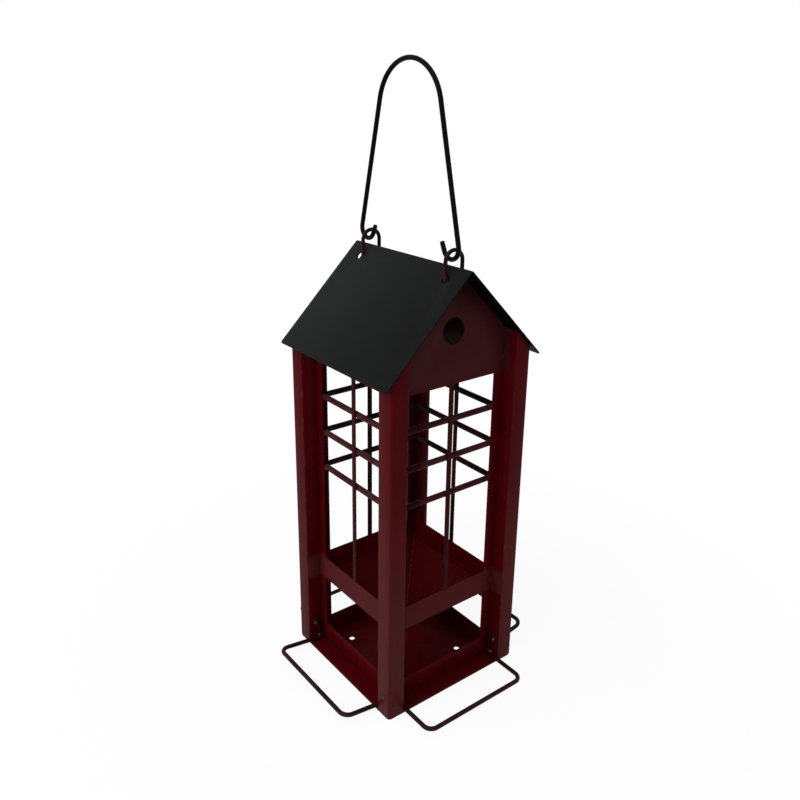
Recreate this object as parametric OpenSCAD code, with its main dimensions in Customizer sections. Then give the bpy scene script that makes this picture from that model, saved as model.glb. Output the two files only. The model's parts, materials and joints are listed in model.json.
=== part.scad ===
// Hanging bird feeder in the shape of a small house, made of painted sheet steel and round wire.
// +Y points to the back gable, +X to the right-hand eave, +Z up.
// The origin is the centre of the base plate's underside, which the feeder stands on.

/* [House] */
// Width and depth across the outer faces of the corner posts
body_w = 110; // [95:1:150]
// Height at which the roof's underside meets the outer faces
wall_h = 235.5; // [225:0.5:300]
// Thickness of the red sheet
sheet_t = 0.8; // [0.6:0.1:1.2]

/* [Corner posts] */
// Width of a square corner post
post_w = 12.2; // [9:0.1:16]
// Bend radius of a post's outer corner
post_bend = 1.5; // [1.3:0.1:3]
// Gap between the roof's underside and the tops of the posts and side panels
eave_gap = 0.4; // [0.3:0.1:1]
// Gap between the roof's underside and the gable panels that carry it
seat_gap = 0.05; // [0.02:0.01:0.2]

/* [Panels] */
// Height of the seed tray's rim above the ground
tray_rim_h = 15.7; // [10:0.1:20]
// Height of the feeding gap, from the tray's rim to the middle rail
feed_gap_h = 38.8; // [30:0.1:45]
// Height of the middle rail
mid_rail_h = 16.7; // [8:0.1:22]
// Height of a window, from the middle rail to the edge above it
window_h = 146.8; // [130:0.1:150]
// Width of the strip to the left of a side panel's openings, as seen from outside
side_strip_left = 6.4; // [6:0.1:16]
// Width of the strip to the right of a side panel's openings, as seen from outside
side_strip_right = 11; // [6:0.1:16]
// Width of the strips beside the openings of a gable panel
gable_strip = 7.4; // [6:0.1:16]
// Width of the mullion down the middle of a window
mullion_w = 3.5; // [2:0.1:6]
// Corner radius of the panes beside a mullion
pane_corner_r = 1; // [0.5:0.1:3]
// Diameter of the round hole in a gable
gable_hole_d = 17; // [10:0.5:24]
// Height of the round hole's centre above the window
gable_hole_rise = 34.3; // [20:0.1:36]

/* [Base and funnel] */
// Thickness of the base plate
base_t = 0.8; // [0.6:0.1:1.5]
// Corner radius of the base plate
base_corner_r = 2.5; // [1.5:0.1:5]
// Diameter of a drain hole in the tray
drain_d = 4; // [2:0.5:8]
// Distance of a drain hole's centre from the tray's walls
drain_inset = 15.3; // [8:0.1:25]
// Slope of the seed funnel's walls
funnel_pitch = 45; // [35:1:48]
// Width of the funnel's square outlet
outlet_w = 18; // [14:1:40]
// Height of the upright lip around the funnel
funnel_lip_h = 4; // [2:0.5:7]

/* [Wires] */
// Diameter of the crossbars behind the windows
bar_d = 3.9; // [2:0.1:4.5]
// Diameter of the perches
perch_d = 3; // [2:0.1:4]
// Gap left for the weld where a wire lies along a sheet
weld_gap = 0.1; // [0.05:0.05:0.3]
// Number of crossbars in a window
bar_count = 3; // [1:1:5]
// Distance from the window's upper edge down to the top crossbar
bar_drop = 24.3; // [10:0.1:25]
// Distance from one crossbar down to the next
bar_pitch = 25.7; // [10:0.1:26]
// Gap between a crossbar's end and the crossbars of the next window
bar_corner_gap = 0.5; // [0.3:0.1:6]
// Distance that a perch stands out from the outer faces, to its wire's centre
perch_reach = 25; // [18:0.5:40]
// Upward tilt of the front perch's legs
front_perch_tilt = 0; // [0:0.5:12]
// Upward tilt of the right perch's legs
right_perch_tilt = 10; // [0:0.5:12]
// Upward tilt of the back perch's legs
back_perch_tilt = 2; // [0:0.5:12]
// Upward tilt of the left perch's legs
left_perch_tilt = 8; // [0:0.5:12]
// Bend radius of a perch's corners, at the wire's centre
perch_bend = 6; // [3:0.5:10]
// Bend radius at the foot of a perch's upturned toes, at the wire's centre
toe_bend = 3.5; // [2.5:0.5:5]
// Length of a toe's straight end
toe_l = 12; // [4:0.5:20]
// Lean of a toe away from the tray's wall
toe_lean = 22; // [0:1:30]

/* [Roof] */
// Slope of the roof
roof_pitch = 45; // [40:1:50]
// Thickness of the roof's sheet
roof_t = 0.8; // [0.6:0.1:1.2]
// Distance that an eave stands out from the outer faces
eave_overhang = 6.4; // [3:0.1:15]
// Distance that the roof's ends stand out from the outer faces
end_overhang = 2.8; // [1:0.1:15]

/* [Ridge staples] */
// Diameter of a staple's wire
staple_d = 2.5; // [2:0.1:3]
// Distance between the centres of a staple's legs
staple_w = 13; // [11:0.1:16]
// Height of a staple's top above the ridge
staple_rise = 10.4; // [10:0.1:14]
// Length of the legs below the ridge
staple_tail = 25; // [18:0.5:26]
// Diameter of the holes in the roof that the legs pass through
roof_hole_d = 6; // [5.5:0.1:7]
// Distance that a hole's centre lies outside the staple's own plane
roof_hole_shift = 1.4; // [0:0.1:1.4]

/* [Handle] */
// Diameter of the handle's wire
handle_d = 3; // [2:0.1:3.4]
// Height of the crown above the pivots, at the wire's centre
handle_h = 110.2; // [80:0.1:150]
// Radius of the crown, at the wire's centre
crown_r = 29.5; // [20:0.5:36]
// Radius of the hooks, at the wire's centre
hook_r = 6.5; // [5:0.1:8]
// Height of the pivots above the ridge
pivot_rise = 3.9; // [3.7:0.1:4.5]
// How far the hooks rest to the left of the ridge, towards the staples' left legs
hook_shift = 2.5; // [0:0.1:3]
// Length of a hook's straight tip
tip_l = 6; // [2:0.5:8]
// Lean of a hook's tip towards the middle of the ridge
tip_lean = 24; // [0:1:40]

/* [Hidden] */
$fn = 64;
wire_fn = 24;
// How far a straight wire runs into the bend that it leaves at an angle, and how much thinner it is
bend_lap = 0.3;
bend_step = 0.02;
SIDES = ["front", "right", "back", "left"];
BARS = [for (i = [1:bar_count]) i];
POSTS = ["front_left", "front_right", "back_right", "back_left"];

red = [0.33, 0.09, 0.10];
roof_green = [0.12, 0.125, 0.12];
black = [0.05, 0.05, 0.05];

half_w = body_w / 2;
// The panels stand between the posts: core_out is their outer face and core_in their inner face
core_in = half_w - post_w;
core_out = core_in + sheet_t;
bar_r = bar_d / 2;
perch_r = perch_d / 2;
mid_rail_z = tray_rim_h + feed_gap_h;
window_z = mid_rail_z + mid_rail_h;
window_top_z = window_z + window_h;
roof_span = half_w + eave_overhang;
roof_l = body_w + 2 * end_overhang;
ridge_in_z = roof_under_z(0);
ridge_z = ridge_in_z + roof_t / cos(roof_pitch);
bar_y = core_in - bar_r - weld_gap;
bar_half_l = bar_y - bar_r - bar_corner_gap;
perch_z = base_t + weld_gap + perch_r;
perch_x = core_in - weld_gap - perch_r;
// Distance of the centres of the toes' bends from the middle
toe_y = core_out + weld_gap + perch_r + toe_bend;
staple_y = core_in - weld_gap - staple_d / 2;
staple_r = staple_w / 2;
staple_bend_z = ridge_z + staple_rise - staple_d / 2 - staple_r;
pivot_z = ridge_z + pivot_rise;
hook_z = pivot_z + hook_r;
crown_z = pivot_z + handle_h - crown_r;
// Height of the roof's underside, at a distance x from the ridge
function roof_under_z(x) = wall_h + (half_w - x) * tan(roof_pitch);
PERCH_TILTS = [front_perch_tilt, right_perch_tilt, back_perch_tilt, left_perch_tilt];
function side_index(side) = search([side], SIDES)[0];
// Turn about Z that takes the front to a side of the house
function side_turn(side) = 90 * side_index(side);
// Tilt of the handle's legs, which are straight tangents from the crown to the hooks
leg_dy = staple_y;
leg_dz = crown_z - hook_z;
leg_tilt = acos((crown_r - hook_r) / norm([leg_dy, leg_dz])) - atan2(leg_dz, leg_dy);
leg_l = sqrt(leg_dy * leg_dy + leg_dz * leg_dz - (crown_r - hook_r) * (crown_r - hook_r));

// Outline of a square post around its inner corner, with its outer corner bent to radius r
module post_outline(w, r) {
    difference() {
        square(w);
        translate([w - r, w - r]) square(r + 1);
    }
    translate([w - r, w - r]) circle(r);
}

// The space below the roof's underside, less a gap
module below_roof(gap) {
    far = half_w + 1;
    outline = [[-far, 0], [far, 0], [far, roof_under_z(far) - gap], [0, ridge_in_z - gap],
        [-far, roof_under_z(far) - gap]];
    rotate([90, 0, 0]) linear_extrude(2 * far, center = true) polygon(outline);
}

module post(corner) {
    turn = 90 * (search([corner], POSTS)[0] + 2);
    color(red) intersection() {
        rotate(turn) translate([core_in, core_in, base_t]) linear_extrude(ridge_z) difference() {
            post_outline(post_w, post_bend);
            translate([sheet_t, sheet_t]) post_outline(post_w - 2 * sheet_t, post_bend - sheet_t);
        }
        below_roof(eave_gap);
    }
}

module base_plate() {
    inner = half_w - base_corner_r;
    drain_x = core_in - drain_inset;
    color(red) linear_extrude(base_t) difference() {
        union() {
            square([body_w, 2 * inner], center = true);
            square([2 * inner, body_w], center = true);
            for (x = [-inner, inner]) for (y = [-inner, inner]) translate([x, y]) circle(base_corner_r);
        }
        for (x = [-drain_x, drain_x]) for (y = [-drain_x, drain_x]) translate([x, y]) circle(d = drain_d);
    }
}

// Pane of a window between two distances from the middle, with rounded corners
module pane(from_x, to_x) {
    w = to_x - from_x;
    r = pane_corner_r;
    translate([from_x, window_z]) {
        translate([r, 0]) square([w - 2 * r, window_h]);
        translate([0, r]) square([w, window_h - 2 * r]);
        for (x = [r, w - r]) for (y = [r, window_h - r]) translate([x, y]) circle(r);
    }
}

// The feeding gap and the two panes of a panel, between its left and right strips as seen from outside
module panel_openings(left_strip, right_strip) {
    left_x = left_strip - core_in;
    right_x = core_in - right_strip;
    translate([left_x, tray_rim_h]) square([right_x - left_x, feed_gap_h]);
    pane(left_x, -mullion_w / 2);
    pane(mullion_w / 2, right_x);
}

// Stands a flat outline up as a sheet in the plane of the front panel
module front_sheet() {
    translate([0, -core_in, 0]) rotate([90, 0, 0]) linear_extrude(sheet_t) children();
}

module gable_panel(side) {
    shoulder_z = roof_under_z(core_in) - seat_gap;
    outline = [[-core_in, base_t], [core_in, base_t], [core_in, shoulder_z], [0, ridge_in_z - seat_gap],
        [-core_in, shoulder_z]];
    color(red) rotate(side_turn(side)) front_sheet() difference() {
        polygon(outline);
        panel_openings(gable_strip, gable_strip);
        translate([0, window_top_z + gable_hole_rise]) circle(d = gable_hole_d);
    }
}

module side_panel(side) {
    top_z = roof_under_z(core_out) - eave_gap;
    color(red) rotate(side_turn(side)) front_sheet() difference() {
        translate([-core_in, base_t]) square([2 * core_in, top_z - base_t]);
        panel_openings(side_strip_left, side_strip_right);
    }
}

// A square frustum that widens upwards at the funnel's slope, as two crossed wedges
module hopper_solid(low_half, low_z, high_z) {
    high_half = low_half + (high_z - low_z) / tan(funnel_pitch);
    outline = [[-low_half, low_z], [low_half, low_z], [high_half, high_z], [-high_half, high_z]];
    intersection_for(turn = [0, 90]) {
        rotate([90, 0, turn]) linear_extrude(2 * high_half, center = true) polygon(outline);
    }
}

// Four sloping walls under an upright lip that is welded to the middle rails
module seed_funnel() {
    rim_half = core_in - weld_gap;
    rim_z = mid_rail_z + sheet_t;
    wall_v = sheet_t / cos(funnel_pitch);
    out_half = outlet_w / 2 + sheet_t / sin(funnel_pitch);
    out_z = rim_z - (rim_half - out_half) * tan(funnel_pitch);
    below = wall_v + 1;
    // The two cuts overlap by this much at the foot of the lip
    cut_lap = sheet_t / 4;
    color(red) difference() {
        union() {
            hopper_solid(out_half, out_z, rim_z);
            translate([-rim_half, -rim_half, rim_z]) cube([2 * rim_half, 2 * rim_half, funnel_lip_h]);
        }
        translate([0, 0, wall_v])
            hopper_solid(out_half - below / tan(funnel_pitch), out_z - below, rim_z - wall_v + cut_lap);
        translate([sheet_t - rim_half, sheet_t - rim_half, rim_z])
            cube([2 * (rim_half - sheet_t), 2 * (rim_half - sheet_t), funnel_lip_h + 1]);
    }
}

// Crossbar i of a window, counted from the top, behind the mullion and the strips of the panel
module crossbar(side, i) {
    z = window_top_z - bar_drop - (i - 1) * bar_pitch;
    color(red) rotate(side_turn(side)) translate([0, -bar_y, z]) rotate([0, 90, 0])
        cylinder(h = 2 * bar_half_l, r = bar_r, center = true);
}

// Wire bent to an arc of radius r about the origin, in the XY plane
module wire_arc(r, wire_radius, start, angle) {
    rotate(start) rotate_extrude(angle = angle) translate([r, 0]) circle(wire_radius, $fn = wire_fn);
}

// Straight wire along +Y from the end of a bend. It is a hair thinner than the bends and runs a hair
// into them, so that bend and straight join at any angle.
module wire_straight(l, wire_radius, into_next_bend) {
    rotate([-90, 0, 0]) translate([0, 0, -bend_lap])
        cylinder(h = l + bend_lap + into_next_bend, r = wire_radius - bend_step);
}

// One side of a perch, drawn around the centre of its toe's bend: leg, bend and toe
module perch_side(tilt, leg_l) {
    rotate([90, 0, 90]) {
        rotate(-tilt) translate([0, -toe_bend, 0]) rotate(90) wire_straight(leg_l, perch_r, bend_lap);
        wire_arc(toe_bend, perch_r, -90 - tilt, 90 + tilt + toe_lean);
        rotate(toe_lean) translate([toe_bend, 0, 0]) wire_straight(toe_l, perch_r, 0);
    }
}

// Wire U over the base plate's ledge. Its ends turn up as toes between tray wall and posts.
module perch(side) {
    tilt = PERCH_TILTS[side_index(side)];
    bar_out = half_w + perch_reach - toe_y;
    bar_l = 2 * (perch_x - perch_bend);
    color(red) rotate(side_turn(side)) translate([0, -toe_y, perch_z + toe_bend]) {
        for (x = [-perch_x, perch_x]) translate([x, 0, 0]) perch_side(tilt, bar_out - perch_bend);
        rotate([-tilt, 0, 0]) translate([0, -bar_out, -toe_bend]) {
            for (flip = [0, 1]) mirror([flip, 0, 0]) translate([bar_l / 2, perch_bend, 0])
                wire_arc(perch_bend, perch_r, -90, 90);
            translate([-bar_l / 2, 0, 0]) rotate(-90) wire_straight(bar_l, perch_r, bend_lap);
        }
    }
}

// Wire staple over the ridge, welded to the inner face of a gable panel
module ridge_staple(side) {
    leg_z = ridge_z - staple_tail;
    color(red) rotate(side_turn(side)) translate([0, -staple_y, 0]) {
        for (x = [-staple_r, staple_r]) {
            translate([x, 0, leg_z]) cylinder(h = staple_bend_z - leg_z, r = staple_d / 2);
        }
        translate([0, 0, staple_bend_z]) rotate([90, 0, 0]) wire_arc(staple_r, staple_d / 2, 0, 180);
    }
}

// One folded sheet, with a hole in each slope for every leg of the staples
module roof() {
    eave_z = ridge_z - roof_span * tan(roof_pitch);
    lip_x = roof_span - roof_t * sin(roof_pitch);
    lip_z = eave_z - roof_t * cos(roof_pitch);
    outline = [[0, ridge_z], [roof_span, eave_z], [lip_x, lip_z], [0, ridge_in_z], [-lip_x, lip_z],
        [-roof_span, eave_z]];
    hole_y = staple_y + roof_hole_shift;
    color(roof_green) difference() {
        rotate([90, 0, 0]) linear_extrude(roof_l, center = true) polygon(outline);
        for (flip = [0, 1]) mirror([flip, 0, 0]) for (y = [-hole_y, hole_y]) {
            translate([staple_r, y, roof_under_z(staple_r)]) rotate([0, roof_pitch, 0])
                cylinder(h = 6 * roof_t, d = roof_hole_d, center = true);
        }
    }
}

// One side of the handle, drawn with the ridge along x and up along y: straight leg, hook and tip
module handle_side() {
    translate([staple_y, hook_z, 0]) {
        rotate(leg_tilt) translate([hook_r, 0, 0]) wire_straight(leg_l, handle_d / 2, bend_lap);
        wire_arc(hook_r, handle_d / 2, tip_lean - 180, 180 - tip_lean + leg_tilt);
        rotate(tip_lean) translate([-hook_r, 0, 0]) wire_straight(tip_l, handle_d / 2, 0);
    }
}

module handle() {
    color(black) translate([-hook_shift, 0, 0]) rotate([90, 0, 90]) {
        translate([0, crown_z, 0]) wire_arc(crown_r, handle_d / 2, leg_tilt, 180 - 2 * leg_tilt);
        handle_side();
        mirror([1, 0, 0]) handle_side();
    }
}

base_plate();
for (p = POSTS) post(p);
for (s = ["front", "back"]) gable_panel(s);
for (s = ["left", "right"]) side_panel(s);
seed_funnel();
for (s = SIDES) for (i = BARS) crossbar(s, i);
for (s = SIDES) perch(s);
for (s = ["front", "back"]) ridge_staple(s);
roof();
handle();
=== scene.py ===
# Looks of the hanging bird feeder: a small house of painted sheet steel with barred windows, wire perches
# and a wire handle. Everything is in metres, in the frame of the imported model: +X right-hand eave,
# +Y back gable, +Z up, origin at the centre of the underside.
import json
import math

import bmesh
import bpy
from mathutils import Matrix, Vector, noise


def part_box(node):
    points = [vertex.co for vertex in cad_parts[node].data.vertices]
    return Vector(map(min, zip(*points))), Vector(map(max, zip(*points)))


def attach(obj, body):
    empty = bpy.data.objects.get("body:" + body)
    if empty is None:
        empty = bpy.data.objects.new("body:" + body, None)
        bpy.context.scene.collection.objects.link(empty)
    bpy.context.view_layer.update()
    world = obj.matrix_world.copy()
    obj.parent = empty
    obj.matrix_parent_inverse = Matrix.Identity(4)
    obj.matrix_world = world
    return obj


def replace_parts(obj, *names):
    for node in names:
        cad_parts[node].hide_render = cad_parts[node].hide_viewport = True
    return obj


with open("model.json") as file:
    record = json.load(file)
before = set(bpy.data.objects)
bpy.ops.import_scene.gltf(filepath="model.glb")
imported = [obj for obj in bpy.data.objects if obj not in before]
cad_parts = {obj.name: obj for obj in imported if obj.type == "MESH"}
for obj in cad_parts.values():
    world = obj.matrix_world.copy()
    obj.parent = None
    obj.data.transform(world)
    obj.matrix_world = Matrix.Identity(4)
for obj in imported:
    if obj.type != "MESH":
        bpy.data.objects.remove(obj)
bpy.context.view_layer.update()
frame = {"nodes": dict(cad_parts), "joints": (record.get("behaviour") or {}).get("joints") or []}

MM = 0.001
X_AXIS = Vector((1, 0, 0))
Y_AXIS = Vector((0, 1, 0))
Z_AXIS = Vector((0, 0, 1))
QUARTER = math.radians(90)
SIDES = ["front", "right", "back", "left"]
GABLES = ["front", "back"]
POSTS = ["front_left", "front_right", "back_right", "back_left"]


# Sizes read from the frame

def low(node):
    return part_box(node)[0]


def high(node):
    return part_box(node)[1]


HALF_W = high("base_plate").x
BASE_T = high("base_plate").z
CORE_OUT = high("side_panel_right").x
CORE_IN = low("side_panel_right").x
BAR_R = (high("crossbar_front_1").z - low("crossbar_front_1").z) / 2
BAR_HALF_L = high("crossbar_front_1").x
BAR_COUNT = sum(name.startswith("crossbar_front_") for name in frame["nodes"])
ROOF_EAVE_X = high("roof").x
ROOF_END_Y = high("roof").y
STAPLE_D = high("ridge_staple_front").y - low("ridge_staple_front").y
STAPLE_R = (high("ridge_staple_front").x - low("ridge_staple_front").x - STAPLE_D) / 2
STAPLE_Y = (high("ridge_staple_back").y + low("ridge_staple_back").y) / 2
STAPLE_FOOT_Z = low("ridge_staple_front").z
STAPLE_TOP_Z = high("ridge_staple_front").z
HOOK_X, _, PIVOT_Z = next(j for j in frame["joints"] if j["name"] == "handle_swing")["pos_m"]
HANDLE_R = (high("handle").x - low("handle").x) / 2
CROWN_TOP_Z = high("handle").z
FUNNEL_OUT_Z = low("seed_funnel").z

# Sizes that the boxes don't give, as in the part's source
WELD_GAP = 0.1 * MM
PERCH_R = 1.5 * MM
PERCH_BEND = 6 * MM
PERCH_TILT_DEG = {"front": 0, "right": 10, "back": 2, "left": 8}
TOE_BEND = 3.5 * MM
TOE_L = 12 * MM
TOE_LEAN = math.radians(22)
CROWN_R = 29.5 * MM
HOOK_R = 6.5 * MM
TIP_L = 6 * MM
TIP_LEAN = math.radians(24)
FUNNEL_RIM_Z = 55.3 * MM
OUTLET_HALF = 9 * MM
ROOF_T = 0.8 * MM
RAIL_Z = 54.5 * MM
WINDOW_Z = 71.2 * MM
WINDOW_TOP_Z = 218 * MM
MULLION_W = 3.5 * MM

# Where the perches' wires lie
PERCH_X = high("perch_front").x - PERCH_R
PERCH_LIE_Z = low("perch_front").z + PERCH_R
TOE_Y = CORE_OUT + WELD_GAP + PERCH_R + TOE_BEND

# Softened edges, the wire's rim in parts of its radius
SHEET_EDGE = 0.22 * MM
RIDGE_FOLD = 1.0 * MM
EAVE_CORNER = 1.6 * MM
WIRE_RIM = 0.45


# Meshes

def link_object(name, data):
    made = bpy.data.objects.new(name, data)
    bpy.context.scene.collection.objects.link(made)
    return made


def new_piece(name, bm, body, material, smooth=40):
    """A finished mesh as a piece that rides on a body. Faces shade smooth up to an angle in degrees."""
    mesh = bpy.data.meshes.new(name)
    bm.to_mesh(mesh)
    bm.free()
    piece = link_object(name, mesh)
    mesh.shade_smooth()
    mesh.set_sharp_from_angle(angle=math.radians(smooth))
    mesh.materials.append(material)
    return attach(piece, body)


class Wire:
    """The centre line of a wire as it is bent: straight runs and bends, one after the other."""

    def __init__(self, start, heading):
        self.points = [Vector(start)]
        self.heading = Vector(heading).normalized()

    def straight(self, length, step=4 * MM):
        start = self.points[-1]
        count = max(1, round(length / step))
        self.points += [start + self.heading * (length * (i + 1) / count) for i in range(count)]
        return self

    def bend(self, radius, angle, axis, step=math.radians(7.5)):
        inward = axis.cross(self.heading) * math.copysign(1, angle)
        centre = self.points[-1] + inward * radius
        arm = self.points[-1] - centre
        count = max(2, math.ceil(abs(angle) / step))
        for i in range(count):
            self.points.append(centre + Matrix.Rotation(angle * (i + 1) / count, 3, axis) @ arm)
        self.heading = Matrix.Rotation(angle, 3, axis) @ self.heading
        return self


def rim_rings(end, inward, radius):
    """The rings that round a cut end, from the cut inwards: centre, and radius in parts of the wire's."""
    depth = WIRE_RIM * radius
    return [(end + inward * depth * (1 - math.sin(a)), 1 - WIRE_RIM * (1 - math.cos(a)))
            for a in map(math.radians, (90, 60, 30))]


def tube(bm, points, radius, sides=20):
    """Round wire along points, with cut ends whose rims are softened by paint."""
    tangents = []
    for i in range(len(points)):
        ahead = points[min(i + 1, len(points) - 1)]
        behind = points[max(i - 1, 0)]
        tangents.append((ahead - behind).normalized())
    first, last = tangents[0], tangents[-1]
    stations = [(centre, first, scale) for centre, scale in rim_rings(points[0], first, radius)]
    stations += [(centre, tangent, 1) for centre, tangent in zip(points[1:-1], tangents[1:-1])]
    stations += [(centre, last, scale) for centre, scale in reversed(rim_rings(points[-1], -last, radius))]
    angles = [2 * math.pi * k / sides for k in range(sides)]
    side = first.orthogonal().normalized()
    rings = []
    for centre, tangent, scale in stations:
        side = (side - tangent * side.dot(tangent)).normalized()
        up = tangent.cross(side)
        rings.append([bm.verts.new(centre + (side * math.cos(a) + up * math.sin(a)) * radius * scale)
                      for a in angles])
    for a, b in zip(rings, rings[1:]):
        for k in range(sides):
            bm.faces.new((a[k], a[(k + 1) % sides], b[(k + 1) % sides], b[k]))
    bm.faces.new(list(reversed(rings[0])))
    bm.faces.new(rings[-1])


def bead(bm, turn, centre, size, seed, lean=Matrix.Identity(3)):
    """A weld bead, placed on the front and turned to its side: a lumpy blob of the given half sizes."""
    made = bmesh.ops.create_icosphere(bm, subdivisions=3, radius=1)["verts"]
    offset = Vector((seed * 3.7, seed * 1.3, seed * 2.1))
    for v in made:
        coarse = noise.noise(v.co * 1.6 + offset)
        fine = noise.noise(v.co * 5 + offset)
        lump = 1 + 0.22 * coarse + 0.07 * fine
        v.co = turn @ (centre + lean @ Vector([c * s * lump for c, s in zip(v.co, size)]))


def in_mm(x, y, z):
    return Vector((x, y, z)) * MM


def side_turn(side):
    """Turns what is made for the front to another side."""
    return Matrix.Rotation(QUARTER * SIDES.index(side), 3, "Z")


# Paint colours, among them painted light and shade, and the places between which the painted sheen and the
# painted shadow on the bars' ends fade

DEEP_RED = (0.068, 0.0014, 0.0036)
DEEP_RED_DARK = (0.052, 0.0010, 0.0028)
# Painted sheen: a greyer red in place of light reflected off the posts' faces and the rails
PAINTED_SHEEN_RED = (0.070, 0.0125, 0.0135)
# Painted shade on the gables under the roof, darkest towards the ridge
GABLE_SHADE_RED = (0.045, 0.0082, 0.0094)
GABLE_TOP_SHADE_RED = (0.020, 0.0046, 0.0042)
MULLION_RED = (0.033, 0.0048, 0.0060)
INSIDE_DARK = (0.004, 0.0012, 0.0014)
PRIMER = (0.105, 0.048, 0.044)
# Crossbar paint by side, a light and a dark shade each: lit and shaded copies of one red, as painted light
# and shade, lighter for the front and left, darker for the back and right
BAR_LIT_AND_SHADED_COLOURS = {
    "front": ((0.052, 0.0150, 0.0165), (0.036, 0.0085, 0.0095)),
    "left": ((0.068, 0.0200, 0.0200), (0.042, 0.0105, 0.0120)),
    "back": ((0.022, 0.0080, 0.0085), (0.011, 0.0036, 0.0046)),
    "right": ((0.022, 0.0075, 0.0080), (0.011, 0.0036, 0.0046)),
}
# Painted shadow on the left ends of the front bars, beside the post
BAR_END_SHADOW_RED = (0.022, 0.0026, 0.0038)
TOE_RED = (0.024, 0.0012, 0.0018)
PERCH_BROWN = (0.030, 0.0110, 0.0110)
PERCH_DARK = (0.015, 0.0056, 0.0060)
STAPLE_RED = (0.048, 0.0070, 0.0085)
STAPLE_RED_DARK = (0.018, 0.0050, 0.0055)
# Painted shade on the staples' arches and right legs
STAPLE_SHADE_DARK = (0.0060, 0.0034, 0.0034)
TOE_WELD_LIGHT = (0.050, 0.0060, 0.0075)
TOE_WELD_DARK = (0.034, 0.0030, 0.0042)
BAR_WELD_LIGHT = (0.034, 0.0070, 0.0085)
BAR_WELD_DARK = (0.022, 0.0036, 0.0046)
# Funnel seams: a lighter red than the sheet, a painted highlight
SEAM_HIGHLIGHT_RED = (0.090, 0.0080, 0.0110)
SEAM_DARK = (0.070, 0.0040, 0.0065)
# Bare-metal colours for painted glints on the welds
BARE_METAL_GLINT = (0.42, 0.33, 0.30)
BARE_METAL_GLINT_DARK = (0.22, 0.15, 0.14)
ROOF_GREEN = (0.0150, 0.0176, 0.0162)
ROOF_DARK = (0.0066, 0.0076, 0.0071)
ROOF_SCUFF = (0.016, 0.018, 0.017)
# Painted shade on the roof's undersides
ROOF_UNDERSIDE_SHADE = (0.0022, 0.0018, 0.0016)
BLACK = (0.0020, 0.0019, 0.0019)
BLACK_WORN = (0.0070, 0.0066, 0.0064)
RUBBED_GREY = (0.06, 0.057, 0.055)
SHEEN_FADES_UP = (175 * MM, 75 * MM)
SHEEN_FADES_DOWN = (5 * MM, 60 * MM)
BAR_END_SHADOW_FADES = (-16 * MM, -26 * MM)


# Materials

class Graph:
    """Short way to write a material's nodes. Values may be numbers, colours or sockets."""

    def __init__(self, name):
        self.material = bpy.data.materials.new(name)
        self.material.use_nodes = True
        self.tree = self.material.node_tree
        self.shader = self.tree.nodes["Principled BSDF"]

    def put(self, socket, value):
        if isinstance(value, bpy.types.NodeSocket):
            self.tree.links.new(value, socket)
        elif isinstance(value, tuple) and len(value) == 3 and socket.type == "RGBA":
            socket.default_value = (*value, 1)
        else:
            socket.default_value = value

    def node(self, kind, inputs, **settings):
        made = self.tree.nodes.new(kind)
        for key, value in settings.items():
            setattr(made, key, value)
        for key, value in inputs.items():
            self.put(made.inputs[key], value)
        return made

    def math(self, operation, *values, clamp=False):
        inputs = dict(enumerate(values))
        return self.node("ShaderNodeMath", inputs, operation=operation, use_clamp=clamp).outputs[0]

    def times(self, first, *others):
        """The product of all its values."""
        for other in others:
            first = self.math("MULTIPLY", first, other)
        return first

    def where(self):
        return self.node("ShaderNodeTexCoord", {}).outputs["Object"]

    def xyz(self):
        """The point's X, Y and Z in the frame."""
        return self.node("ShaderNodeSeparateXYZ", {"Vector": self.where()}).outputs

    def noise(self, scale, detail=3, roughness=0.5, stretch=(1, 1, 1)):
        place = self.node("ShaderNodeMapping", {"Vector": self.where(), "Scale": stretch}).outputs[0]
        inputs = {"Vector": place, "Scale": scale, "Detail": detail, "Roughness": roughness}
        return self.node("ShaderNodeTexNoise", inputs).outputs["Fac"]

    def ramp(self, value, from_low, from_high, to_low=0.0, to_high=1.0):
        """Eases from to_low to to_high while the value goes from from_low to from_high."""
        inputs = {"Value": value, "From Min": from_low, "From Max": from_high, "To Min": to_low,
                  "To Max": to_high}
        return self.node("ShaderNodeMapRange", inputs, interpolation_type="SMOOTHSTEP").outputs[0]

    def mix(self, factor, a, b):
        made = self.node("ShaderNodeMix", {"Factor": factor}, data_type="RGBA")
        self.put(made.inputs[6], a)
        self.put(made.inputs[7], b)
        return made.outputs[2]

    def bump(self, height, distance, normal=None):
        inputs = {"Height": height, "Distance": distance, "Strength": 1.0}
        if normal is not None:
            inputs["Normal"] = normal
        return self.node("ShaderNodeBump", inputs).outputs[0]

    def finish(self, colour, roughness, normal, specular):
        self.put(self.shader.inputs["Base Color"], colour)
        self.put(self.shader.inputs["Roughness"], roughness)
        self.put(self.shader.inputs["Normal"], normal)
        self.put(self.shader.inputs["Specular IOR Level"], specular)
        return self.material


def paint_normal(g, peel, wave):
    """Orange peel of sprayed paint over the slight waves of thin sheet or drawn wire, as heights."""
    waves = g.bump(g.noise(14, detail=1), wave)
    return g.bump(g.noise(520, detail=2), peel, waves)


def edge_wear(g, colour, amount=1.0):
    """Thin paint along the edges lets the primer through in places."""
    edge = g.node("ShaderNodeAttribute", {}, attribute_name="edge").outputs["Fac"]
    places = g.ramp(g.noise(90, detail=5, roughness=0.65), 0.50, 0.66)
    return g.mix(g.times(edge, places, amount), colour, PRIMER)


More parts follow.
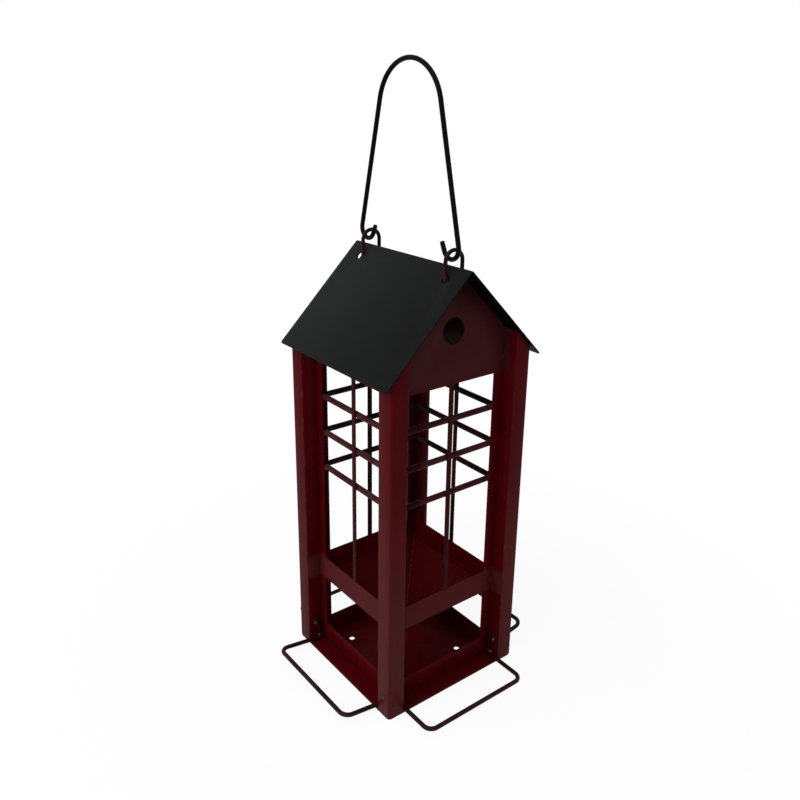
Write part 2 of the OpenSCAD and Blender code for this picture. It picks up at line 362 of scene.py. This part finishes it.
def sheet_paint():
    """The house's sheets: deep glossy red in the recesses, a painted sheen of greyer red in place of
    reflected light low on the posts' faces and on the rails, gables darkened by painted shade under the
    roof, darker mullions, and painted shade on the inside."""
    g = Graph("red_sheet_paint")
    x, y, z = g.xyz()
    x = g.math("ABSOLUTE", x)
    y = g.math("ABSOLUTE", y)
    out = g.math("MAXIMUM", x, y)
    along = g.math("MINIMUM", x, y)

    # Painted sheen: a greyer red low on the posts' outer faces and on the rails, fading upwards, in place of
    # reflected light
    low_down = g.times(g.ramp(z, *SHEEN_FADES_UP, 0.20, 1.0), g.ramp(z, *SHEEN_FADES_DOWN, 0.75, 1.0))
    posts = g.times(g.ramp(out, HALF_W - 1.6 * MM, HALF_W - 0.2 * MM), low_down)
    rails = g.times(g.ramp(z, RAIL_Z - 2 * MM, RAIL_Z + 2 * MM),
                    g.ramp(z, WINDOW_Z + 3 * MM, WINDOW_Z - 1 * MM),
                    g.ramp(out, CORE_OUT - 0.5 * MM, CORE_OUT - 0.1 * MM))
    clouds = g.ramp(g.noise(22, detail=4, roughness=0.6), 0.25, 0.75, 0.65, 1.0)
    painted_sheen = g.math("MULTIPLY", g.math("MAXIMUM", posts, rails), clouds, clamp=True)
    deep = g.mix(g.ramp(g.noise(35, detail=5, roughness=0.6), 0.35, 0.7), DEEP_RED, DEEP_RED_DARK)
    colour = g.mix(painted_sheen, deep, PAINTED_SHEEN_RED)

    # Painted shade: the gables darker under the roof, darker still towards the ridge
    gable = g.times(g.ramp(z, WINDOW_TOP_Z - 4 * MM, WINDOW_TOP_Z + 6 * MM),
                    g.ramp(out, HALF_W - 1 * MM, CORE_OUT + 0.5 * MM))
    towards_ridge = g.ramp(z, WINDOW_TOP_Z + 30 * MM, WINDOW_TOP_Z + 68 * MM)
    colour = g.mix(gable, colour, g.mix(towards_ridge, GABLE_SHADE_RED, GABLE_TOP_SHADE_RED))

    mullion = g.times(g.ramp(along, MULLION_W * 0.8, MULLION_W * 0.55),
                      g.ramp(z, WINDOW_Z - 2 * MM, WINDOW_Z + 3 * MM),
                      g.ramp(z, WINDOW_TOP_Z + 4 * MM, WINDOW_TOP_Z - 2 * MM))
    colour = g.mix(mullion, colour, MULLION_RED)

    shade = g.math("MAXIMUM", g.ramp(z, WINDOW_Z - 2 * MM, WINDOW_Z + 8 * MM, 0.0, 0.55),
                   g.ramp(z, WINDOW_TOP_Z - 6 * MM, WINDOW_TOP_Z + 4 * MM, 0.0, 0.85))
    inside = g.ramp(out, CORE_IN + 0.5 * MM, CORE_IN + 0.2 * MM)
    colour = g.mix(g.times(inside, shade), colour, INSIDE_DARK)

    wear = g.ramp(out, CORE_IN - 1 * MM, CORE_IN, 0.15, 1.0)
    return g.finish(edge_wear(g, colour, wear), roughness=g.ramp(painted_sheen, 0.0, 1.0, 0.34, 0.52),
                    normal=paint_normal(g, peel=0.012 * MM, wave=0.25 * MM), specular=0.016)


def two_shades(g, light, dark):
    """Two shades of one paint, in patches along a wire."""
    return g.mix(g.ramp(g.noise(60, detail=4, roughness=0.6), 0.35, 0.65), light, dark)


def finish_wire(g, colour, specular=0.04):
    """Thin paint on drawn wire, smoother in some places than in others."""
    return g.finish(colour, roughness=g.ramp(g.noise(200), 0.3, 0.7, 0.34, 0.50),
                    normal=paint_normal(g, peel=0.015 * MM, wave=0.15 * MM), specular=specular)


def bar_paint_lit_and_shaded(side):
    """The crossbars of one window, in a copy of the paint that is painted lighter for the front and left and
    darker for the back and right, as painted light and shade. The front ones get a painted shadow, a deeper
    red, beside the front left post.
    """
    g = Graph(f"bar_paint_lit_and_shaded_{side}")
    colour = two_shades(g, *BAR_LIT_AND_SHADED_COLOURS[side])
    if side == "front":
        # Painted shadow of the front left post: the front bars' left ends a deeper red
        colour = g.mix(g.ramp(g.xyz()["X"], *BAR_END_SHADOW_FADES, 0.0, 0.9), colour, BAR_END_SHADOW_RED)
    return finish_wire(g, colour, specular=0.016)


def perch_paint():
    """Red where the wire lies against the tray, worn brown where birds perch."""
    g = Graph("perch_wire_paint")
    x, y, _ = g.xyz()
    out = g.math("MAXIMUM", g.math("ABSOLUTE", x), g.math("ABSOLUTE", y))
    perched_on = g.ramp(out, HALF_W - 3 * MM, HALF_W + 2 * MM)
    return finish_wire(g, g.mix(perched_on, TOE_RED, two_shades(g, PERCH_BROWN, PERCH_DARK)))


def staple_paint():
    """Red on the left legs; the arches and the right legs nearly black, as painted shade on the side away
    from the light.
    """
    g = Graph("staple_wire_paint")
    shaded_past_left_leg = g.ramp(g.xyz()["X"], -0.95 * STAPLE_R, -0.5 * STAPLE_R, 0.0, 0.9)
    return finish_wire(g, g.mix(shaded_past_left_leg, two_shades(g, STAPLE_RED, STAPLE_RED_DARK), STAPLE_SHADE_DARK))


def weld_paint(name, light, dark, wear_and_glints):
    """Paint on weld beads, with small bright spots in the colour of bare metal as painted glints. The last
    argument says how strongly they show, 0 to 1.
    """
    g = Graph(name)
    colour = g.mix(g.ramp(g.noise(300), 0.4, 0.6), light, dark)
    # Painted glints: small bright spots on the beads
    spots = g.ramp(g.noise(800, detail=2, roughness=0.6), 0.56, 0.62)
    return g.finish(g.mix(g.times(spots, wear_and_glints), colour, BARE_METAL_GLINT), roughness=0.3,
                    normal=paint_normal(g, peel=0.03 * MM, wave=0.15 * MM), specular=0.06)


def roof_paint():
    """Dull green-black paint with faint clouds, lighter towards the back as a painted reflection of light,
    with scuffs down the slopes and painted shade on the undersides.
    """
    g = Graph("roof_green_paint")
    clouds = g.ramp(g.noise(16, detail=5, roughness=0.62), 0.3, 0.7, -0.15, 0.15)
    # Painted reflection of light: the roof lighter towards the back, added to the clouds
    sheen_to_back = g.ramp(g.xyz()["Y"], -ROOF_END_Y * 1.1, ROOF_END_Y * 1.1, 0.12, 0.95)
    dust_and_sheen = g.math("ADD", sheen_to_back, clouds, clamp=True)
    scuffs = g.ramp(g.noise(70, detail=6, roughness=0.7, stretch=(0.35, 2.2, 0.35)), 0.60, 0.78, 0.0, 0.35)
    top = edge_wear(g, g.mix(scuffs, g.mix(dust_and_sheen, ROOF_DARK, ROOF_GREEN), ROOF_SCUFF))
    # Painted shade: the faces of the roof that look down are nearly black
    normal = g.node("ShaderNodeTexCoord", {}).outputs["Normal"]
    facing_up = g.node("ShaderNodeSeparateXYZ", {"Vector": normal}).outputs["Z"]
    colour = g.mix(g.ramp(facing_up, 0.1, -0.1), top, ROOF_UNDERSIDE_SHADE)
    return g.finish(colour, roughness=g.ramp(dust_and_sheen, 0.0, 1.0, 0.46, 0.60),
                    normal=paint_normal(g, peel=0.014 * MM, wave=0.35 * MM), specular=0.02)


def handle_paint():
    """Glossy black with a little wear, and worn through to grey in the bottoms of the hooks."""
    g = Graph("black_wire_paint")
    hook = g.ramp(g.xyz()["Z"], PIVOT_Z + 2.4 * MM, PIVOT_Z - 0.5 * MM)
    wear_and_glints = g.times(hook, g.ramp(g.noise(420, detail=4), 0.45, 0.6))
    dust_and_sheen = g.ramp(g.noise(45, detail=4), 0.5, 0.8, 0.0, 0.35)
    colour = g.mix(wear_and_glints, g.mix(dust_and_sheen, BLACK, BLACK_WORN), RUBBED_GREY)
    return g.finish(colour, roughness=g.ramp(g.noise(160), 0.3, 0.7, 0.26, 0.40),
                    normal=paint_normal(g, peel=0.010 * MM, wave=0.10 * MM), specular=0.03)


RED_SHEET = sheet_paint()
BAR_PAINT = {side: bar_paint_lit_and_shaded(side) for side in BAR_LIT_AND_SHADED_COLOURS}
STAPLE_WIRE = staple_paint()
PERCH_WIRE = perch_paint()
# The last number says how strongly the painted glints show
WELD_RED = weld_paint("red_weld_paint", TOE_WELD_LIGHT, TOE_WELD_DARK, wear_and_glints=1.0)
BAR_WELD = weld_paint("bar_weld_paint", BAR_WELD_LIGHT, BAR_WELD_DARK, wear_and_glints=0.3)
GLINT_WELD_PAINT = weld_paint("painted_glint_weld", BARE_METAL_GLINT, BARE_METAL_GLINT_DARK, wear_and_glints=0.6)
SEAM_HIGHLIGHT_PAINT = weld_paint("seam_highlight_paint", SEAM_HIGHLIGHT_RED, SEAM_DARK, wear_and_glints=0.08)
ROOF = roof_paint()
BLACK_WIRE = handle_paint()


# Sheets

def bevel(bm, edges, width, segments, clamp):
    """Rounds the given edges and returns the new faces."""
    return bmesh.ops.bevel(bm, geom=edges, offset=width, offset_type="OFFSET", segments=segments,
                           profile=0.5, affect="EDGES", clamp_overlap=clamp)["faces"]


def dressed_sheet(node, body, material, soften=None):
    """The node's sheet with softened edges, marked for wear. soften may round some edges more, first."""
    same_place = 0.002 * MM
    flat = math.radians(0.4)
    crease = math.radians(30)
    bm = bmesh.new()
    bm.from_mesh(frame["nodes"][node].data)
    bmesh.ops.remove_doubles(bm, verts=bm.verts, dist=same_place)
    bmesh.ops.dissolve_limit(bm, angle_limit=flat, verts=bm.verts, edges=bm.edges)
    if soften:
        soften(bm)
    sharp = [e for e in bm.edges if len(e.link_faces) == 2 and e.calc_face_angle(0) > crease]
    made = bevel(bm, sharp, SHEET_EDGE, segments=2, clamp=True)
    mark = bm.loops.layers.float.new("edge")
    for face in made:
        for loop in face.loops:
            loop[mark] = 1.0
    bmesh.ops.recalc_face_normals(bm, faces=bm.faces)
    piece = new_piece(f"{node}_sheet", bm, body, material)
    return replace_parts(piece, node)


def soften_roof(bm):
    """Rounds the fold along the ridge and the corners of the eaves."""
    near = 0.01 * MM
    long_edge = 5 * MM
    eave_x = ROOF_EAVE_X - ROOF_T - 0.1 * MM
    ridge = [e for e in bm.edges
             if all(abs(v.co.x) < near for v in e.verts) and e.calc_length() > long_edge]
    bevel(bm, ridge, RIDGE_FOLD, segments=5, clamp=False)
    corners = [e for e in bm.edges
               if all(abs(abs(v.co.y) - ROOF_END_Y) < near for v in e.verts)
               and all(abs(v.co.x) > eave_x for v in e.verts)
               and e.calc_length() < 1.5 * ROOF_T]
    bevel(bm, corners, EAVE_CORNER, segments=5, clamp=False)


PANELS = ["gable_panel_front", "gable_panel_back", "side_panel_left", "side_panel_right"]
for name in ["base_plate", "seed_funnel"] + [f"post_{p}" for p in POSTS] + PANELS:
    dressed_sheet(name, "house", RED_SHEET)
dressed_sheet("roof", "roof", ROOF, soften=soften_roof)


# Wires

def wire_piece(node, points, radius, body, material, sides=20):
    """A wire along points, in place of its node."""
    bm = bmesh.new()
    tube(bm, points, radius, sides)
    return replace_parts(new_piece(f"{node}_wire", bm, body, material), node)


def crossbar(side, number):
    """A straight wire with its node's box: the longest side gives the direction."""
    node = f"crossbar_{side}_{number}"
    lo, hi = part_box(node)
    size = hi - lo
    axis = max(range(3), key=lambda k: size[k])
    start = (lo + hi) / 2
    end = start.copy()
    start[axis] = lo[axis]
    end[axis] = hi[axis]
    wire = Wire(start, end - start).straight((end - start).length)
    return wire_piece(node, wire.points, BAR_R, "house", BAR_PAINT[side])


def toe_tip():
    """Tip of the left toe of the front perch."""
    y = -TOE_Y + TOE_BEND * math.cos(TOE_LEAN) - TOE_L * math.sin(TOE_LEAN)
    z = PERCH_LIE_Z + TOE_BEND * (1 + math.sin(TOE_LEAN)) + TOE_L * math.cos(TOE_LEAN)
    return Vector((-PERCH_X, y, z))


def perch(side):
    """One wire: toe, leg, bar, leg and toe. The legs are bent up by the side's own tilt."""
    tilt = math.radians(PERCH_TILT_DEG[side])
    leg = -low("perch_front").y - PERCH_R - PERCH_BEND - TOE_Y
    upright = Matrix.Rotation(-tilt, 3, "X") @ Z_AXIS
    wire = Wire(toe_tip(), (0, math.sin(TOE_LEAN), -math.cos(TOE_LEAN)))
    wire.straight(TOE_L).bend(TOE_BEND, -QUARTER - TOE_LEAN - tilt, X_AXIS).straight(leg)
    wire.bend(PERCH_BEND, QUARTER, upright).straight(2 * (PERCH_X - PERCH_BEND))
    wire.bend(PERCH_BEND, QUARTER, upright).straight(leg)
    wire.bend(TOE_BEND, QUARTER + TOE_LEAN + tilt, X_AXIS).straight(TOE_L)
    points = [side_turn(side) @ p for p in wire.points]
    return wire_piece(f"perch_{side}", points, PERCH_R, "house", PERCH_WIRE)


def ridge_staple(side):
    """Leg, arch and leg."""
    leg = STAPLE_TOP_Z - STAPLE_D / 2 - STAPLE_R - STAPLE_FOOT_Z
    wire = Wire((-STAPLE_R, -STAPLE_Y, STAPLE_FOOT_Z), Z_AXIS)
    wire.straight(leg).bend(STAPLE_R, math.pi, Y_AXIS).straight(leg)
    points = [side_turn(side) @ p for p in wire.points]
    return wire_piece(f"ridge_staple_{side}", points, STAPLE_D / 2, "house", STAPLE_WIRE)


def handle():
    """One wire: tip, hook, leg, crown, leg, hook and tip, all bent the same way about X."""
    hook_z = PIVOT_Z + HOOK_R
    rise = CROWN_TOP_Z - HANDLE_R - CROWN_R - hook_z
    spread = CROWN_R - HOOK_R
    tilt = math.acos(spread / math.hypot(STAPLE_Y, rise)) - math.atan2(rise, STAPLE_Y)
    leg = math.sqrt(STAPLE_Y ** 2 + rise ** 2 - spread ** 2)
    lean = Matrix.Rotation(TIP_LEAN, 3, "X")
    hook = math.pi - TIP_LEAN + tilt
    wire = Wire(Vector((HOOK_X, STAPLE_Y, hook_z)) + lean @ Vector((0, -HOOK_R, TIP_L)), lean @ -Z_AXIS)
    wire.straight(TIP_L).bend(HOOK_R, hook, X_AXIS).straight(leg)
    wire.bend(CROWN_R, math.pi - 2 * tilt, X_AXIS, step=math.radians(4)).straight(leg)
    wire.bend(HOOK_R, hook, X_AXIS).straight(TIP_L)
    return wire_piece("handle", wire.points, HANDLE_R, "handle", BLACK_WIRE, sides=24)


for side in SIDES:
    for number in range(1, BAR_COUNT + 1):
        crossbar(side, number)
    perch(side)
for side in GABLES:
    ridge_staple(side)
handle()


# Half sizes of the weld beads and of the bright spots of painted glints: across, in depth and up

BAR_BEAD = in_mm(1.5, 0.7, 0.8)
TOE_TIP_BEAD = in_mm(0.9, 1.3, 1.7)
TOE_BEND_BEAD = in_mm(0.9, 2.0, 1.3)
LEDGE_BEAD = in_mm(1.4, 1.5, 0.9)
STAPLE_BEAD = in_mm(1.2, 0.8, 2.0)
TACK = in_mm(0.8, 0.6, 2.2)
TIP_GLINT = in_mm(0.42, 0.30, 1.1)
BEND_GLINT = in_mm(0.42, 0.30, 0.6)

# Where they sit: heights above the staples' feet and the ground, offsets from the points they join
STAPLE_BEADS_UP = [2 * MM, 9 * MM]
TACKS_Z = [9 * MM, 61 * MM, 140 * MM, 226 * MM]
BAR_BEAD_OFF = 1.2 * MM
TOE_TIP_BEAD_OFF = in_mm(0, 0.6, -1.6)
TOE_BEND_BEAD_OFF = in_mm(0, 1.2, 0.8)
TIP_GLINT_DOWN = 1.6 * MM
BEND_GLINT_LEAN = math.radians(-50)

# Seams of the funnel
SEAM_R = 0.55 * MM
SEAM_SUNK = 0.2 * MM
SEAM_MARGIN = 1 * MM
SEAM_WAVE = 0.12 * MM
SEAM_STEPS = 40

# Runs of paint on the posts, in millimetres: side, place across, height and half length
DRIP_HALF_W = 0.55
DRIP_HALF_T = 0.25
DRIPS = [("left", 49.0, 14.5, 1.7), ("left", -47.5, 22.0, 1.2), ("front", -50.5, 9.0, 1.1),
         ("front", 48.0, 30.0, 1.4), ("right", 50.0, 12.0, 1.3), ("back", -46.5, 17.0, 1.5)]


# Welds

def weld_piece(name, bm, material):
    return new_piece(name, bm, "house", material, smooth=70)


def side_seed(first, side):
    """Where a side's seeds start, for a kind of bead whose seeds start at first."""
    return first + SIDES.index(side) * 20


def window_welds(side):
    """Beads above and below each crossbar, where it crosses the mullion and where its ends lie on the
    panel."""
    turn = side_turn(side)
    bm = bmesh.new()
    seed = side_seed(0, side)
    end_x = BAR_HALF_L - BAR_BEAD_OFF
    wall_y = -(CORE_IN - 0.5 * MM)
    for k in range(BAR_COUNT):
        lo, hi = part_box(f"crossbar_{side}_{k + 1}")
        z = (lo.z + hi.z) / 2
        for j, x in enumerate((-end_x, 0, end_x)):
            for up in (-1, 1):
                place = Vector((x, wall_y, z + up * BAR_BEAD_OFF))
                bead(bm, turn, place, BAR_BEAD, seed + 6 * k + 2 * j + up)
    return weld_piece(f"window_welds_{side}", bm, BAR_WELD)


def perch_welds(side):
    """Beads at each toe's tip and bend, against the post, and where each leg leaves the ledge."""
    turn = side_turn(side)
    bm = bmesh.new()
    tip = toe_tip()
    seed = side_seed(100, side)
    post_x = CORE_IN - 0.2 * MM
    leg_x = PERCH_X + 0.8 * MM
    ledge_y = -(HALF_W - 1.6 * MM)
    ledge_z = BASE_T + 0.6 * MM
    for x in (-1, 1):
        at_tip = Vector((x * post_x, tip.y, tip.z)) + TOE_TIP_BEAD_OFF
        at_bend = Vector((x * post_x, -TOE_Y, PERCH_LIE_Z)) + TOE_BEND_BEAD_OFF
        at_ledge = Vector((x * leg_x, ledge_y, ledge_z))
        bead(bm, turn, at_tip, TOE_TIP_BEAD, seed + x)
        bead(bm, turn, at_bend, TOE_BEND_BEAD, seed + 5 + x)
        bead(bm, turn, at_ledge, LEDGE_BEAD, seed + 10 + x)
    return weld_piece(f"perch_welds_{side}", bm, WELD_RED)


def painted_glints(side):
    """Bright spots on each toe, at its tip and inside its bend, as painted glints of light on the welds."""
    turn = side_turn(side)
    bm = bmesh.new()
    tip = toe_tip()
    sunk = 0.1 * MM
    toe_out = Vector((0, -math.cos(TOE_LEAN), -math.sin(TOE_LEAN)))
    toe_lean = Matrix.Rotation(TOE_LEAN, 3, "X")
    bend_lean = Matrix.Rotation(BEND_GLINT_LEAN, 3, "X")
    seed = side_seed(150, side)
    for x in (-1, 1):
        at_tip = Vector((x * PERCH_X, tip.y, tip.z)) + toe_out * (PERCH_R - sunk)
        at_tip -= toe_lean @ Z_AXIS * TIP_GLINT_DOWN
        at_bend = Vector((x * (PERCH_X + 0.4 * MM), -TOE_Y, PERCH_LIE_Z + TOE_BEND))
        at_bend += bend_lean @ Y_AXIS * (TOE_BEND - PERCH_R + sunk)
        bead(bm, turn, at_tip, TIP_GLINT, seed + x, toe_lean)
        bead(bm, turn, at_bend, BEND_GLINT, seed + 5 + x, bend_lean)
    return weld_piece(f"painted_glints_{side}", bm, GLINT_WELD_PAINT)


def staple_welds(side):
    """Two beads down each leg, between the wire and the inner face of the gable."""
    turn = side_turn(side)
    bm = bmesh.new()
    seed = side_seed(200, side)
    leg_x = STAPLE_R + 0.7 * MM
    wall_y = -(CORE_IN - 0.4 * MM)
    for x in (-1, 1):
        for k, up in enumerate(STAPLE_BEADS_UP):
            place = Vector((x * leg_x, wall_y, STAPLE_FOOT_Z + up))
            bead(bm, turn, place, STAPLE_BEAD, seed + 3 * k + x)
    return weld_piece(f"staple_welds_{side}", bm, BAR_WELD)


def post_tacks(side):
    """Small tack welds outside, between a panel and the two posts beside it, the right ones higher."""
    turn = side_turn(side)
    bm = bmesh.new()
    seed = side_seed(300, side)
    post_x = CORE_IN - 0.3 * MM
    face_y = -(CORE_OUT + 0.1 * MM)
    right_higher = 1.5 * MM
    for k, z in enumerate(TACKS_Z):
        for x in (-1, 1):
            place = Vector((x * post_x, face_y, z + x * right_higher))
            bead(bm, turn, place, TACK, seed + 2 * k + x)
    return weld_piece(f"post_tacks_{side}", bm, RED_SHEET)


def funnel_seams():
    """Thin lumpy seams down the four valleys of the funnel, their paint a lighter red than the sheet as a
    painted highlight along the valleys.
    """
    bm = bmesh.new()
    rise = FUNNEL_RIM_Z - FUNNEL_OUT_Z - 2 * SEAM_MARGIN
    for k, side in enumerate(SIDES):
        points = []
        for i in range(SEAM_STEPS + 1):
            up = SEAM_MARGIN + rise * i / SEAM_STEPS
            wave = SEAM_WAVE * noise.noise(Vector((i * 0.45, k * 7.0, 0)))
            half = OUTLET_HALF + up - SEAM_SUNK
            points.append(side_turn(side) @ Vector((half, half + wave, FUNNEL_OUT_Z + up + wave)))
        tube(bm, points, SEAM_R, sides=10)
    return weld_piece("funnel_seams", bm, SEAM_HIGHLIGHT_PAINT)


def paint_drips():
    """Small runs of paint near the feet of the posts."""
    bm = bmesh.new()
    face_y = -HALF_W + 0.05 * MM
    for k, (side, x, z, half_length) in enumerate(DRIPS):
        place = Vector((x * MM, face_y, z * MM))
        bead(bm, side_turn(side), place, in_mm(DRIP_HALF_W, DRIP_HALF_T, half_length), 400 + k)
    return weld_piece("paint_drips", bm, BAR_WELD)


for side in SIDES:
    window_welds(side)
    perch_welds(side)
    painted_glints(side)
    post_tacks(side)
for side in GABLES:
    staple_welds(side)
funnel_seams()
paint_drips()


# Studio, with the camera as it was fitted to the photo and distances from the feeder for the shadow

CAMERA_AT = Vector((-0.3100, -0.3921, 0.3928))
CAMERA_AZIMUTH = math.radians(-37.7165)
CAMERA_DOWN = math.radians(19.2901)
CAMERA_ROLL = math.radians(0.7011)
PHOTO_PX = 800
FOCAL_PX = 813.08
SHIFT_PX = 34.4
SENSOR_MM = 36
WHITE = (1, 1, 1, 1)
FLOOR_HALF = 4.0
FLOOR_PAPER = (0.96, 0.96, 0.96, 1)
SHADOW_FULL_TO = 0.15
SHADOW_GONE_AT = 0.40
GLOW_IN_SHADOW = 0.91
LIGHT_AIM = Vector((0, 0, 0.15))


def add_camera():
    data = bpy.data.cameras.new("camera")
    data.sensor_width = SENSOR_MM
    data.lens = FOCAL_PX / PHOTO_PX * SENSOR_MM
    data.shift_y = -SHIFT_PX / PHOTO_PX
    data.clip_start = 0.01
    camera = link_object("camera", data)
    turn = Matrix.Rotation(CAMERA_AZIMUTH, 4, "Z") @ Matrix.Rotation(QUARTER - CAMERA_DOWN, 4, "X")
    camera.matrix_world = Matrix.Translation(CAMERA_AT) @ turn @ Matrix.Rotation(CAMERA_ROLL, 4, "Z")
    bpy.context.scene.camera = camera


def seen_directly(tree):
    """1 for rays from the camera and for reflected and refracted ones, 0 for diffuse light."""
    path = tree.nodes.new("ShaderNodeLightPath")
    total = path.outputs["Is Camera Ray"]
    for name in ("Is Glossy Ray", "Is Transmission Ray"):
        largest = tree.nodes.new("ShaderNodeMath")
        largest.operation = "MAXIMUM"
        tree.links.new(total, largest.inputs[0])
        tree.links.new(path.outputs[name], largest.inputs[1])
        total = largest.outputs[0]
    return total


def white_light(tree, kind, strength):
    made = tree.nodes.new(kind)
    made.inputs["Color"].default_value = WHITE
    made.inputs["Strength"].default_value = strength
    return made.outputs[0]


def mix_to_surface(tree, factor, a, b, output_kind):
    """Makes the tree's surface a shader between a and b."""
    mix = tree.nodes.new("ShaderNodeMixShader")
    out = tree.nodes.new(output_kind)
    tree.links.new(factor, mix.inputs[0])
    tree.links.new(a, mix.inputs[1])
    tree.links.new(b, mix.inputs[2])
    tree.links.new(mix.outputs[0], out.inputs["Surface"])


def add_world(ambient):
    """White where it is seen, dimmer where it lights the object."""
    world = bpy.data.worlds.new("studio")
    bpy.context.scene.world = world
    world.use_nodes = True
    tree = world.node_tree
    tree.nodes.clear()
    lit = white_light(tree, "ShaderNodeBackground", ambient)
    seen = white_light(tree, "ShaderNodeBackground", 1)
    mix_to_surface(tree, seen_directly(tree), lit, seen, "ShaderNodeOutputWorld")


def add_floor():
    """A white floor that keeps the shadow near the feeder and runs into the white background further out."""
    bm = bmesh.new()
    bmesh.ops.create_grid(bm, x_segments=8, y_segments=8, size=FLOOR_HALF)
    mesh = bpy.data.meshes.new("floor")
    bm.to_mesh(mesh)
    bm.free()
    floor = link_object("floor", mesh)
    material = bpy.data.materials.new("floor_white")
    material.use_nodes = True
    tree = material.node_tree
    tree.nodes.clear()
    paper = tree.nodes.new("ShaderNodeBsdfDiffuse")
    paper.inputs["Color"].default_value = FLOOR_PAPER
    glow = white_light(tree, "ShaderNodeEmission", 1)
    place = tree.nodes.new("ShaderNodeTexCoord")
    distance = tree.nodes.new("ShaderNodeVectorMath")
    distance.operation = "LENGTH"
    tree.links.new(place.outputs["Object"], distance.inputs[0])
    away = tree.nodes.new("ShaderNodeMapRange")
    away.interpolation_type = "SMOOTHSTEP"
    away.inputs["From Min"].default_value = SHADOW_FULL_TO
    away.inputs["From Max"].default_value = SHADOW_GONE_AT
    away.inputs["To Min"].default_value = GLOW_IN_SHADOW
    tree.links.new(distance.outputs["Value"], away.inputs["Value"])
    share = tree.nodes.new("ShaderNodeMath")
    share.operation = "MULTIPLY"
    tree.links.new(away.outputs[0], share.inputs[0])
    tree.links.new(seen_directly(tree), share.inputs[1])
    mix_to_surface(tree, share.outputs[0], paper.outputs[0], glow, "ShaderNodeOutputMaterial")
    mesh.materials.append(material)


def add_softbox(name, at, size, watts):
    """A square area light that faces the middle of the house."""
    data = bpy.data.lights.new(name, "AREA")
    data.size = size
    data.energy = watts
    lamp = link_object(name, data)
    lamp.location = at
    lamp.rotation_euler = (LIGHT_AIM - Vector(at)).to_track_quat("-Z", "Y").to_euler()


add_camera()
add_world(ambient=0.5)
add_floor()
add_softbox("key", at=(-1.05, -0.10, 1.25), size=1.6, watts=18)
bpy.context.scene.view_settings.view_transform = "Standard"
